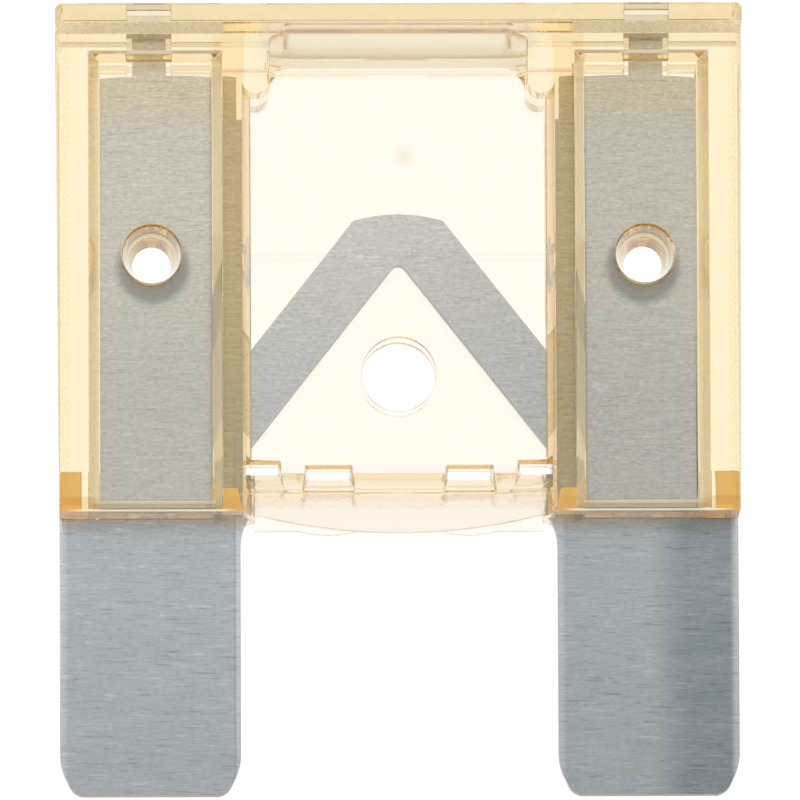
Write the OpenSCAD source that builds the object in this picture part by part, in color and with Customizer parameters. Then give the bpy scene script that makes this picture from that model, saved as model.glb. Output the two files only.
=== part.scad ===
// Large automotive blade fuse, lying on its back.
// X runs across the two blades, Y from the blade tips to the cap, Z up to the front face.
// The fuse is two pieces: a clear moulded housing, and one stamped metal strip that is
// both blades and the inverted V link between them.

/* [Whole fuse] */
// Length from the blade tips to the top of the cap
fuse_len = 33.8; // [32:0.1:38]
// Length of blade that stands out of the housing
blade_out = 11.95; // [9:0.05:14]

/* [Metal strip] */
// Distance between the centres of the two blades
blade_pitch = 21.42; // [21:0.02:23]
// Width of a blade
blade_w = 7.78; // [7.4:0.02:8.2]
// Thickness of the strip
strip_t = 0.8; // [0.6:0.05:1]
// Sideways size of the cut corner at a blade's tip
tip_cut_x = 0.6; // [0.2:0.05:1.5]
// Lengthways size of the cut corner at a blade's tip
tip_cut_y = 1.3; // [0.4:0.05:2]
// How far the strip steps in from the blade's outer edge, inside the housing
shoulder_step = 1.7; // [1.3:0.05:2]
// How far the strip reaches past the blade's inner edge, inside the housing
inner_step = 0.21; // [0.05:0.01:0.3]
// Gap from the top of the strip to the top of the cap
strip_top_gap = 2.65; // [2.3:0.05:3]
// Rise of the arched top edge of the strip
top_arch = 0.14; // [0.05:0.01:0.3]
// Length over which the strip's inner edge is relieved at its top
relief_len = 2; // [1:0.1:3]
// Depth of that relief
relief_step = 0.35; // [0.1:0.05:0.5]
// Width of the test tab on top of each blade
tab_w = 1.44; // [0.8:0.02:1.7]
// Gap from the end of a test tab to the top of the cap
tab_gap = 0.72; // [0.4:0.02:1.4]
// Size of the cut corners at the end of a test tab
tab_cut = 0.25; // [0.1:0.05:0.35]
// How far the lug on the inner edge of each blade stands in
lug_in = 0.36; // [0.1:0.02:0.4]
// Distance of the lug's tip above the bottom of the housing
lug_up = 0.35; // [0.1:0.05:0.8]
// Length of the lug's slope above its tip
lug_slope = 1.25; // [0.6:0.05:2]
// Length of the hollow curve under the lug
lug_curve = 1.55; // [1:0.05:2.5]
// How far the small barb stands in
barb_in = 0.15; // [0.05:0.01:0.25]
// Length of the small barb
barb_len = 0.9; // [0.5:0.1:1.5]
// Distance of the barb's tip below the top of the strip
barb_down = 3.2; // [2.6:0.1:5]

/* [Link] */
// Slope of the link's arms
link_angle = 51.9; // [46:0.1:56]
// Width of an arm, square to its length
link_arm_w = 2.58; // [1.6:0.02:3.2]
// Height of the link's top above the bottom of the housing
link_top_up = 13.18; // [11.5:0.02:15]
// Height of the flat shoulder where an arm leaves the blade
link_foot_up = 7.23; // [6.4:0.01:8]
// Width of the arched top between the two arms
link_crown_w = 3.88; // [2.5:0.02:5]
// Rise of the arched top
link_crown_rise = 0.29; // [0.1:0.01:0.5]
// Radius inside the V
link_inner_r = 0.35; // [0.1:0.05:0.8]

/* [Cap] */
// How far the cap reaches past the outer edge of each blade
cap_side = 0.15; // [0.15:0.05:0.8]
// Depth of the cap, front to back
cap_d = 8.9; // [8.2:0.1:10]
// Height of the cap's front and back faces
cap_edge_h = 0.85; // [0.5:0.05:1.4]
// Height of the slope under the cap
cap_slope_h = 0.3; // [0.1:0.05:0.6]
// Radius of the cap's corners, seen from the front
cap_corner_r = 0.35; // [0.1:0.05:0.8]
// Radius along the cap's long top edges
cap_edge_r = 0.15; // [0.05:0.05:0.4]

/* [Body] */
// Depth of the body under the cap, front to back
body_d = 6.5; // [6:0.1:7.4]
// How much narrower the body is at its bottom, on each side
body_draft = 0.14; // [0:0.01:0.15]
// Radius along the body's four long corners
body_edge_r = 0.3; // [0.1:0.05:0.6]
// Clearance between the strip and its slot, on each face
slot_clear = 0.15; // [0.05:0.01:0.25]
// Gap between the top of the strip and the end of its slot
slot_end_gap = 0.2; // [0.1:0.05:0.4]
// Width of a test slot in the cap
probe_w = 1.94; // [1.8:0.02:2.4]
// Depth of a test slot in the cap, front to back
probe_d = 1.5; // [1.2:0.05:2]

/* [Side panels] */
// Depth of the recessed panel over each blade
panel_depth = 1.2; // [0.5:0.05:1.6]
// Width of a panel's floor
panel_w = 4.85; // [4:0.05:5.1]
// Distance of a panel's centre outside the middle of the strip's covered width
panel_shift = 0.7; // [0.5:0.05:0.8]
// Width of the sloping side walls of a panel
panel_side_slope = 0.45; // [0.2:0.05:0.6]
// Width of the sloping top wall of a panel
panel_top_slope = 0.33; // [0.2:0.02:0.6]
// Width of the sloping bottom wall of a panel
panel_foot_slope = 0.45; // [0.1:0.05:0.6]
// Distance from the panel's top edge to the top of the cap
panel_top_gap = 1.9; // [1.6:0.05:2.6]
// Height of the rail under a panel, at the front
panel_rail = 0.1; // [0.05:0.01:0.8]
// Radius of a panel hole at the front
hole_front_r = 1.29; // [1.1:0.01:1.5]
// Radius of a panel hole at the back
hole_back_r = 0.83; // [0.6:0.01:1]
// Height of the panel holes above the bottom of the housing
hole_up = 11.3; // [8:0.1:13]
// Distance of a panel hole outside the blade's centre line
hole_shift = -0.1; // [-0.6:0.05:0.6]
// Wall of the collar that is pressed through the strip around each cone
collar_wall = 0.1; // [0.05:0.01:0.25]
// Clearance between a collar and the hole of the strip
hole_clear = 0.04; // [0.02:0.01:0.1]

/* [Window] */
// Thickness of each clear window wall
window_wall = 0.8; // [0.4:0.05:0.9]
// Distance of the window's side walls outside the strip's inner edge
post_set_in = 0.12; // [-0.1:0.02:0.2]
// Slope width of the post's wall down to the window
post_slope = 0.35; // [0.2:0.05:0.5]
// Distance from the window's top edge to the top of the cap
window_top_gap = 2.15; // [1.9:0.05:2.6]
// Radius of the window's top corners
window_corner_r = 1.1; // [0.5:0.1:1.6]
// Radius of the hollow sweep over the window, up to the front face of the cap
sweep_r = 5; // [4:0.1:8]
// Width of the round ended rib in each top corner
rib_w = 1.17; // [0.8:0.02:1.6]
// Distance from a rib's round end to the top of the cap
rib_gap = 3.76; // [3.2:0.02:5]
// Radius of the hole in the middle of the window
centre_hole_r = 1.6; // [1:0.05:1.9]
// Height of the middle hole above the bottom of the housing
centre_hole_up = 6.17; // [5:0.05:7]

/* [Sill] */
// Height of the sill's top above the bottom of the housing
sill_top_up = 1.85; // [1.6:0.05:2.1]
// Height of the sill's foot above the bottom of the housing
sill_foot_up = 0.94; // [0.7:0.02:1.1]
// How far the sill stands out of the window
sill_out = 0.55; // [0.3:0.05:0.8]
// Height of the sill's blunt front edge
sill_edge = 0.18; // [0.05:0.01:0.3]
// Distance from the middle to the inner sill windows
sill_gap_x = 3.02; // [2.4:0.02:3.4]
// Distance of the outer sill windows from the window's side walls
sill_outer_gap = 0.63; // [0.5:0.01:0.8]
// Width of a sill window at the front
sill_cut_w = 2.42; // [1.6:0.02:2.6]
// Height of a sill window's top above the bottom of the housing
sill_cut_up = 2.28; // [2.15:0.02:2.6]
// Slope of a sill window's end walls, across
sill_cut_slope = 0.35; // [0.05:0.05:0.4]
// Lean of a sill window's top wall
sill_cut_lean = 0.2; // [0.05:0.01:0.3]
// How much higher the outer sill windows reach than the inner ones
sill_outer_up = 0.2; // [0:0.01:0.3]
// Distance of a sill window's ramp below the sill's top, at the slot
sill_ramp_down = 0.15; // [0.05:0.01:0.3]
// How much the slot flares at its mouth, on each face
mouth_flare = 0.4; // [0.2:0.05:0.45]
// Thickness of the skirt's walls below the sill
skirt_wall = 0.5; // [0.3:0.05:0.7]
// How far the skirt hangs below the housing's bottom, in the middle
skirt_drop = 0.72; // [0.4:0.02:0.95]
// How far the back of the skirt hangs below the housing's bottom
skirt_back_drop = 0.37; // [0.1:0.01:0.6]
// How far the two shallow lips hang below the back of the skirt
lip_drop = 0.17; // [0.05:0.01:0.3]
// Radius of the skirt's curved front edge
skirt_r = 25; // [24:0.5:60]
// Clearance between the skirt's ends and the lugs of the strip
skirt_clear = 0.02; // [0:0.01:0.1]
// Size of the sloping lead in under each post
lead_in = 1.2; // [0.5:0.05:1.3]
// How much narrower the lead in is at its top, on each side
lead_in_draft = 0.35; // [0.1:0.05:0.5]
// Size of the sloping relief at the outer back corners
heel = 2.2; // [0.6:0.05:2.4]
// Width of that relief
heel_w = 0.95; // [0.5:0.05:1]

/* [Hidden] */

// Facets of a full turn on every round shape
$fn = 64;
// Facets of a full turn on the wide, shallow arcs
wide_fn = 256;
// Overlap that lets a cutter run past the face it opens
past = 0.5;

// Levels along Y
top_y = fuse_len / 2;
tip_y = -fuse_len / 2;
seat_y = tip_y + blade_out;
strip_top_y = top_y - strip_top_gap;
slot_end_y = strip_top_y + slot_end_gap;
under_cap_y = top_y - cap_edge_h - cap_slope_h;
cap_edge_y = top_y - cap_edge_h;
window_top_y = top_y - window_top_gap;
sill_top_y = seat_y + sill_top_up;
sill_foot_y = seat_y + sill_foot_up;
skirt_y = seat_y - skirt_drop;

// Levels along Z, where the back of the cap is at zero
mid_z = cap_d / 2;
slot_half = strip_t / 2 + slot_clear;
window_half = slot_half + window_wall;
body_half = body_d / 2;
floor_half = body_half - panel_depth;
skirt_half = slot_half + mouth_flare + skirt_wall;

// Places along X, on the right hand side
blade_x = blade_pitch / 2;
blade_in_x = blade_x - blade_w / 2;
blade_out_x = blade_x + blade_w / 2;
strip_in_x = blade_in_x - inner_step;
strip_out_x = blade_out_x - shoulder_step;
relief_x = strip_in_x + relief_step;
strip_mid_x = (strip_in_x + strip_out_x) / 2;
slot_x = strip_out_x + slot_clear;
lug_x = strip_in_x - lug_in;
skirt_x = lug_x - skirt_clear;
panel_x = strip_mid_x + panel_shift;
hole_x = blade_x + hole_shift;
collar_r = cone_r(slot_half) + collar_wall;
post_x = strip_in_x + post_set_in;
window_x = post_x - post_slope;
rib_in_x = post_x - rib_w;
sill_outer_x = post_x - sill_outer_gap;
cap_w = 2 * (blade_out_x + cap_side);

// Levels of the link, from the top of its crown down to the inner corner of the V
link_top_y = seat_y + link_top_up;
crown_y = link_top_y - link_crown_rise;
link_foot_y = seat_y + link_foot_up;
inner_top_y = crown_y + tan(link_angle) * link_crown_w / 2 - link_arm_w / cos(link_angle);

// Height of the inner line of the V at a distance x from the middle
function v_line_y(x) = inner_top_y - tan(link_angle) * x;

// The cone of a panel hole narrows evenly from the front panel to the back panel
function cone_r(half_z) =
    hole_back_r + (hole_front_r - hole_back_r) * (floor_half + half_z) / (2 * floor_half);

// Radius of an arc with the given half chord and rise
function arc_r(half_chord, rise) = (half_chord * half_chord + rise * rise) / (2 * rise);

// Chord of the hollow sweep, as (y, z from the middle plane), and the middle of its circle
sweep_chord = [cap_edge_y - window_top_y, mid_z - window_half];
sweep_back = sqrt(pow(sweep_r / norm(sweep_chord), 2) - pow(1 / 2, 2));
sweep_centre = [
    (cap_edge_y + window_top_y) / 2 - sweep_back * sweep_chord[1],
    (mid_z + window_half) / 2 + sweep_back * sweep_chord[0]
];

// Runs an outline drawn as (y, z) along X, from x0 to x1
module along_x(x0, x1) {
    translate([x0, 0, 0])
        rotate([90, 0, 90])
            linear_extrude(x1 - x0)
                children();
}

// Runs an outline drawn as (x, z) along Y, from y0 to y1
module along_y(y0, y1) {
    translate([0, y1, 0])
        rotate([90, 0, 0])
            linear_extrude(y1 - y0)
                children();
}

// Raises an outline drawn as (x, y) from z0 to z1
module along_z(z0, z1) {
    translate([0, 0, z0])
        linear_extrude(z1 - z0)
            children();
}

// Draws its children on the right and on the left
module both_sides() {
    children();
    mirror([1, 0, 0])
        children();
}

// Draws its children, placed from the middle plane, to the front and to the back
module both_faces() {
    translate([0, 0, mid_z])
        children();
    translate([0, 0, mid_z])
        mirror([0, 0, 1])
            children();
}

// What is left of a square corner outside a quarter circle, with its point at the origin
module corner_rest(r) {
    difference() {
        translate([-r, -r])
            square(r + past);
        translate([-r, -r])
            circle(r);
    }
}

// Outline of the cap and body seen from the front
module front_outline() {
    difference() {
        polygon([
            [-cap_w / 2 + body_draft, seat_y],
            [cap_w / 2 - body_draft, seat_y],
            [cap_w / 2, under_cap_y],
            [cap_w / 2, top_y],
            [-cap_w / 2, top_y],
            [-cap_w / 2, under_cap_y]
        ]);
        both_sides()
            translate([cap_w / 2, top_y])
                corner_rest(cap_corner_r);
    }
}

// Outline of the cap and body seen from the side, as (y, z from the middle plane)
module side_outline() {
    difference() {
        polygon([
            [seat_y, -body_half],
            [under_cap_y, -body_half],
            [cap_edge_y, -mid_z],
            [top_y, -mid_z],
            [top_y, mid_z],
            [cap_edge_y, mid_z],
            [under_cap_y, body_half],
            [seat_y, body_half]
        ]);
        translate([top_y, mid_z])
            corner_rest(cap_edge_r);
        translate([top_y, -mid_z])
            mirror([0, 1])
                corner_rest(cap_edge_r);
    }
}

// Rounds the long corners of the body, below the cap
module body_corners() {
    both_sides()
        both_faces()
            along_y(seat_y - past, under_cap_y)
                translate([cap_w / 2, body_half])
                    corner_rest(body_edge_r);
}

// Solid block of the cap and body
module cap_and_body() {
    difference() {
        intersection() {
            along_z(0, cap_d)
                front_outline();
            translate([0, 0, mid_z])
                along_x(-cap_w, cap_w)
                    side_outline();
        }
        body_corners();
    }
}

// Round ended rib in a top corner of the window
module corner_rib() {
    along_z(0, body_half)
        union() {
            translate([rib_in_x + rib_w / 2, top_y - rib_gap + rib_w / 2])
                circle(rib_w / 2);
            translate([rib_in_x, top_y - rib_gap + rib_w / 2])
                square([rib_w + past, rib_gap - rib_w / 2 - cap_edge_h]);
        }
}

// Recess down to the clear window, open at the housing's bottom
module window_recess() {
    straight_top_y = window_top_y - window_corner_r;
    sweep_half_x = rib_in_x - window_corner_r;
    difference() {
        along_y(seat_y - past, straight_top_y)
            polygon([
                [-window_x, window_half],
                [window_x, window_half],
                [post_x, body_half],
                [post_x, body_half + past],
                [-post_x, body_half + past],
                [-post_x, body_half]
            ]);
        both_sides()
            corner_rib();
    }
    along_x(-sweep_half_x, sweep_half_x)
        sweep_side(straight_top_y - past);
    both_sides()
        sweep_corner(sweep_half_x, straight_top_y);
}

// Outline of the hollow sweep from the given y on, as (y, z from the middle plane)
module sweep_side(from_y) {
    intersection() {
        translate([from_y, window_half])
            square([top_y - from_y, mid_z + past - window_half]);
        translate(sweep_centre)
            circle(sweep_r, $fn = wide_fn);
    }
}

// Turned end of the hollow sweep, cut off square at the rib
module sweep_corner(x, y) {
    intersection() {
        translate([x, y, 0])
            rotate_extrude()
                intersection() {
                    translate([-y, 0])
                        sweep_side(y - past);
                    square([cap_d, cap_d]);
                }
        translate([0, y - past, 0])
            cube([rib_in_x, cap_d, cap_d]);
    }
}

// Ramped sill across the foot of the window
module sill() {
    along_x(-post_x, post_x)
        polygon([
            [sill_top_y, slot_half],
            [sill_top_y, window_half],
            [sill_foot_y + sill_edge, window_half + sill_out],
            [sill_foot_y, window_half + sill_out],
            [sill_foot_y, slot_half]
        ]);
}

// Front wall of the skirt, with its curved lower edge
module skirt_front() {
    along_z(0, skirt_half)
        intersection() {
            translate([-skirt_x, skirt_y])
                square([2 * skirt_x, sill_foot_y - skirt_y + past / 2]);
            translate([0, skirt_y + skirt_r])
                circle(skirt_r, $fn = wide_fn);
        }
}

// Back wall of the skirt, with its straight edge and two shallow lips
module skirt_back() {
    along_z(-skirt_half, 0) {
        translate([-skirt_x, seat_y - skirt_back_drop])
            square([2 * skirt_x, sill_foot_up + skirt_back_drop + past / 2]);
        both_sides()
            translate([sill_gap_x, seat_y - skirt_back_drop])
                intersection() {
                    translate([-sill_cut_w / 2, -lip_drop])
                        square([sill_cut_w, 2 * lip_drop]);
                    translate([0, arc_r(sill_cut_w / 2, lip_drop) - lip_drop])
                        circle(arc_r(sill_cut_w / 2, lip_drop));
                }
    }
}

// Slot for the metal strip round the two collars, with its flared mouth between the posts
module strip_slot() {
    translate([0, 0, mid_z])
        along_z(-slot_half, slot_half)
            difference() {
                translate([-slot_x, skirt_y - past])
                    square([2 * slot_x, slot_end_y - skirt_y + past]);
                both_sides()
                    translate([hole_x, seat_y + hole_up])
                        circle(collar_r);
            }
    both_faces()
        along_x(-skirt_x, skirt_x)
            polygon([
                [sill_top_y, 0],
                [sill_top_y, slot_half],
                [sill_foot_y, slot_half + mouth_flare],
                [skirt_y - past, slot_half + mouth_flare],
                [skirt_y - past, 0]
            ]);
}

// Slot in the cap that lets a test probe reach the tab of the blade below
module probe_slot() {
    translate([blade_x - probe_w / 2, slot_end_y - past, mid_z - probe_d / 2])
        cube([probe_w, top_y - slot_end_y + 2 * past, probe_d]);
}

// Recessed panel with four sloping walls
module panel() {
    side_rise = panel_side_slope * (panel_depth + past) / panel_depth;
    top_rise = panel_top_slope * (panel_depth + past) / panel_depth;
    foot_rise = panel_foot_slope * (panel_depth + past) / panel_depth;
    floor_top_y = top_y - panel_top_gap - panel_top_slope;
    floor_foot_y = seat_y + panel_rail + panel_foot_slope;
    intersection() {
        along_y(seat_y - past, top_y)
            polygon([
                [panel_x - panel_w / 2, floor_half],
                [panel_x + panel_w / 2, floor_half],
                [panel_x + panel_w / 2 + side_rise, body_half + past],
                [panel_x - panel_w / 2 - side_rise, body_half + past]
            ]);
        along_x(0, cap_w)
            polygon([
                [floor_foot_y, floor_half],
                [floor_top_y, floor_half],
                [floor_top_y + top_rise, body_half + past],
                [floor_foot_y - foot_rise, body_half + past]
            ]);
    }
}

// Tapered hole through both panels
module panel_hole() {
    reach = floor_half + past;
    translate([hole_x, seat_y + hole_up, mid_z - reach])
        cylinder(h = 2 * reach, r1 = cone_r(-reach), r2 = cone_r(reach));
}

// Lead in at the foot of a post, sloping away from the slot
module post_lead_in() {
    panel_in_x = panel_x - panel_w / 2;
    intersection() {
        along_x(strip_in_x, panel_in_x)
            polygon([
                [seat_y + lead_in, slot_half - past],
                [seat_y + lead_in, slot_half],
                [seat_y - past, slot_half + lead_in + past],
                [seat_y - past, slot_half - past]
            ]);
        along_z(0, body_half)
            polygon([
                [strip_in_x, seat_y - past],
                [strip_in_x + lead_in_draft, seat_y + lead_in],
                [panel_in_x - lead_in_draft, seat_y + lead_in],
                [panel_in_x, seat_y - past]
            ]);
    }
}

// Relief at the outer back corner of the housing's bottom
module heel_relief() {
    translate([0, 0, mid_z])
        along_x(cap_w / 2 - body_draft - heel_w, cap_w)
            polygon([
                [seat_y - past, -body_half - past],
                [seat_y + heel + past, -body_half - past],
                [seat_y - past, -body_half + heel + past]
            ]);
}

// One small window cut through the sill, with a ramp for its foot
module sill_window(x, up) {
    ramp_y = sill_top_y - sill_ramp_down;
    front = window_half + sill_out;
    back = slot_half - past / 2;
    intersection() {
        along_x(x - sill_cut_w, x + sill_cut_w)
            translate([up, 0])
                polygon([
                    [seat_y + sill_cut_up - sill_cut_lean, back],
                    [seat_y + sill_cut_up, front],
                    [seat_y + sill_cut_up, front + past],
                    [sill_foot_y, front + past],
                    [sill_foot_y, front],
                    [ramp_y, slot_half],
                    [ramp_y, back]
                ]);
        along_y(seat_y, seat_y + 2 * sill_cut_up)
            polygon([
                [x - sill_cut_w / 2 + sill_cut_slope, back],
                [x + sill_cut_w / 2 - sill_cut_slope, back],
                [x + sill_cut_w / 2, front + past],
                [x - sill_cut_w / 2, front + past]
            ]);
    }
}

// Hole through both window walls, over the link
module centre_hole() {
    translate([0, seat_y + centre_hole_up, mid_z - body_half])
        cylinder(h = body_d, r = centre_hole_r);
}

// The clear moulding in one piece
module housing() {
    color([0.98, 0.87, 0.58, 0.55])
        difference() {
            union() {
                difference() {
                    cap_and_body();
                    both_faces()
                        window_recess();
                }
                both_faces()
                    sill();
                translate([0, 0, mid_z]) {
                    skirt_front();
                    skirt_back();
                }
            }
            strip_slot();
            both_sides() {
                probe_slot();
                panel_hole();
                heel_relief();
                both_faces() {
                    panel();
                    post_lead_in();
                    sill_window(sill_gap_x, 0);
                }
            }
            outer_sill_windows();
            centre_hole();
        }
}

// The two outer sill windows stop at the posts
module outer_sill_windows() {
    both_sides()
        both_faces()
            intersection() {
                sill_window(sill_outer_x, sill_outer_up);
                along_z(0, body_half)
                    translate([0, seat_y])
                        square([post_x, window_top_y - seat_y]);
            }
}

// Raises an outline to the thickness of the strip, or to a cutter that runs past both faces
module slab(extra = 0) {
    along_z(mid_z - strip_t / 2 - extra, mid_z + strip_t / 2 + extra)
        children();
}

// Covered part of a blade, from the shoulder to the arched top
module covered_strip() {
    half = (strip_out_x - relief_x) / 2;
    slab()
        intersection() {
            translate([relief_x, seat_y - past])
                square([2 * half, strip_top_y - seat_y + past]);
            translate([relief_x + half, strip_top_y - arc_r(half, top_arch)])
                circle(arc_r(half, top_arch), $fn = wide_fn);
        }
    slab()
        translate([strip_in_x, seat_y])
            square([relief_step + past, strip_top_y - relief_len - seat_y]);
}

// Part of a blade that stands out of the housing, with its cut corners
module bare_blade() {
    slab()
        polygon([
            [blade_in_x + tip_cut_x, tip_y],
            [blade_out_x - tip_cut_x, tip_y],
            [blade_out_x, tip_y + tip_cut_y],
            [blade_out_x, seat_y],
            [blade_in_x, seat_y],
            [blade_in_x, tip_y + tip_cut_y]
        ]);
}

// Lug on the inner edge, hollowed out below its tip
module lug() {
    foot_y = seat_y + lug_up - lug_curve;
    reach = blade_in_x - lug_x;
    slab()
        difference() {
            polygon([
                [strip_in_x, seat_y + lug_up + lug_slope],
                [lug_x, seat_y + lug_up],
                [lug_x, foot_y],
                [blade_in_x + past, foot_y],
                [blade_in_x + past, seat_y + lug_up + lug_slope]
            ]);
            translate([blade_in_x - arc_r(lug_curve, reach), foot_y])
                circle(arc_r(lug_curve, reach), $fn = wide_fn);
        }
}

// Small barb that holds the strip in its slot
module barb() {
    tip = strip_top_y - barb_down;
    slab()
        polygon([
            [strip_in_x + past, tip + barb_len / 2],
            [strip_in_x, tip + barb_len / 2],
            [strip_in_x - barb_in, tip],
            [strip_in_x, tip - barb_len / 2],
            [strip_in_x + past, tip - barb_len / 2]
        ]);
}

// Tab that the test probe touches
module test_tab() {
    root_y = strip_top_y - top_arch - past;
    end_y = top_y - tab_gap;
    slab()
        polygon([
            [blade_x - tab_w / 2, root_y],
            [blade_x + tab_w / 2, root_y],
            [blade_x + tab_w / 2, end_y - tab_cut],
            [blade_x + tab_w / 2 - tab_cut, end_y],
            [blade_x - tab_w / 2 + tab_cut, end_y],
            [blade_x - tab_w / 2, end_y - tab_cut]
        ]);
}

// Inverted V between the blades, with an arched top and a rounded inner corner
module link() {
    difference() {
        link_blank();
        inner_v();
    }
}

// The link before the inside of the V is cut away
module link_blank() {
    crown_r = arc_r(link_crown_w / 2, link_crown_rise);
    foot_x = link_crown_w / 2 + (crown_y - link_foot_y) / tan(link_angle);
    slab()
        polygon([
            [-strip_in_x - past, v_line_y(strip_in_x + past)],
            [-strip_in_x - past, link_foot_y],
            [-foot_x, link_foot_y],
            [-link_crown_w / 2, crown_y],
            [link_crown_w / 2, crown_y],
            [foot_x, link_foot_y],
            [strip_in_x + past, link_foot_y],
            [strip_in_x + past, v_line_y(strip_in_x + past)]
        ]);
    slab()
        intersection() {
            translate([-link_crown_w / 2, crown_y - past])
                square([link_crown_w, link_crown_rise + past]);
            translate([0, link_top_y - crown_r])
                circle(crown_r, $fn = wide_fn);
        }
}

// The inside of the V, rounded at its top
module inner_v() {
    round_y = inner_top_y - link_inner_r / cos(link_angle);
    side = link_inner_r * sin(link_angle);
    top = round_y + link_inner_r * cos(link_angle);
    reach = strip_in_x + past;
    slab(past)
        polygon([
            [-side, top],
            [side, top],
            [reach, v_line_y(reach)],
            [reach, v_line_y(reach) - past],
            [-reach, v_line_y(reach) - past],
            [-reach, v_line_y(reach)]
        ]);
    slab(past)
        translate([0, round_y])
            circle(link_inner_r);
}

// The stamped strip in one piece, with a hole for each collar
module fuse_strip() {
    color([0.72, 0.74, 0.75])
        difference() {
            union() {
                both_sides() {
                    covered_strip();
                    bare_blade();
                    lug();
                    barb();
                    test_tab();
                }
                link();
            }
            both_sides()
                slab(past)
                    translate([hole_x, seat_y + hole_up])
                        circle(collar_r + hole_clear);
        }
}

housing();
fuse_strip();
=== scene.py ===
"""Looks of a large automotive blade fuse, lying on its back on a light table.

The fuse is two pieces. The housing is one clear amber moulding, and the strip inside it is one
stamped piece of tin plated copper alloy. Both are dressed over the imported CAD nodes.
"""
import logging
import math
from dataclasses import dataclass, fields
from typing import Any

import bmesh
import bpy
from mathutils import Matrix, Vector
from mathutils.geometry import intersect_point_line


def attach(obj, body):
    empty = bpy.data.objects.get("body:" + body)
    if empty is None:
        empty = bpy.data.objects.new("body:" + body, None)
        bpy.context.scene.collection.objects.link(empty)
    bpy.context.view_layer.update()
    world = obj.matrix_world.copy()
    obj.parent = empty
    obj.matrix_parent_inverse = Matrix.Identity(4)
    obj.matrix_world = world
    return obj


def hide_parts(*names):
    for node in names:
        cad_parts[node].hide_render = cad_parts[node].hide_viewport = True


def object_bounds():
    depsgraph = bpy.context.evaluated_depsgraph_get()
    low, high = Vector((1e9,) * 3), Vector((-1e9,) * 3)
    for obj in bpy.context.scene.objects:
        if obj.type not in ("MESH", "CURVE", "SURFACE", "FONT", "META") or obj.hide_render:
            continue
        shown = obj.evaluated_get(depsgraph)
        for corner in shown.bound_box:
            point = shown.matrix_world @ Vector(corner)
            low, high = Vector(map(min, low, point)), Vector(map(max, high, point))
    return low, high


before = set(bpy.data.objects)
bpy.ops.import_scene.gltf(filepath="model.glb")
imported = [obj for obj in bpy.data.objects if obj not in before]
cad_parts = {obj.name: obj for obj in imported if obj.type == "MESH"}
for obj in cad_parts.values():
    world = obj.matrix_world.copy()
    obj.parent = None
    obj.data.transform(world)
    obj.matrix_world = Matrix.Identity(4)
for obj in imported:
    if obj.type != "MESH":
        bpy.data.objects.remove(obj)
CAD_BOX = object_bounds()
MM = 0.001
MIDDLE = (CAD_BOX[0][2] + CAD_BOX[1][2]) / 2 / MM  # height of the fuse's middle plane in millimetres
THROUGH = 2 * MIDDLE  # half depth of a patch that goes right through the fuse, in millimetres
WIDE = 20.0  # half width of a patch that goes right across the fuse, in millimetres
MATH, RANGE, MIX, NOISE = "ShaderNodeMath", "ShaderNodeMapRange", "ShaderNodeMix", "ShaderNodeTexNoise"
MIX_A, MIX_B, MIX_OUT = 6, 7, 2  # the colour sockets of a Mix node
LOG = logging.getLogger("blade_fuse")

Tree = bpy.types.NodeTree
Socket = bpy.types.NodeSocket
Pair = tuple[float, float]
Place = tuple[float, float, float]


def srgb(code: str) -> tuple[float, float, float, float]:
    """Turns an sRGB hex colour into the linear one that a shader takes.

    Args:
        code: The colour as six hex digits.

    Returns:
        Linear red, green and blue, and an alpha of one.
    """
    levels = [int(code[i:i + 2], 16) / 255 for i in (0, 2, 4)]
    linear = [c / 12.92 if c <= 0.04045 else ((c + 0.055) / 1.055) ** 2.4 for c in levels]
    return linear[0], linear[1], linear[2], 1.0


def add_node(tree: Tree, kind: str, settings: dict[Any, Any] | None = None,
             links: dict[Any, Socket] | None = None) -> bpy.types.Node:
    """Adds a node with its settings and links.

    Args:
        tree: The node tree that gets the node.
        kind: Blender's name for the kind of node.
        settings: Values by the name of a property or, failing that, of an input socket.
        links: Sockets to link from, by the name or number of the input that takes each.

    Returns:
        The new node.
    """
    node = tree.nodes.new(kind)
    for name, value in (settings or {}).items():
        if isinstance(name, str) and hasattr(node, name):
            setattr(node, name, value)
        else:
            node.inputs[name].default_value = value
    for name, source in (links or {}).items():
        tree.links.new(source, node.inputs[name])
    return node


def new_material(name: str) -> tuple[bpy.types.Material, Tree, bpy.types.Node]:
    """Makes an empty node material.

    Args:
        name: The material's name.

    Returns:
        The material, its tree and its output node.
    """
    material = bpy.data.materials.new(name)
    material.use_nodes = True
    material.node_tree.nodes.clear()
    output = material.node_tree.nodes.new("ShaderNodeOutputMaterial")
    return material, material.node_tree, output


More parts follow.
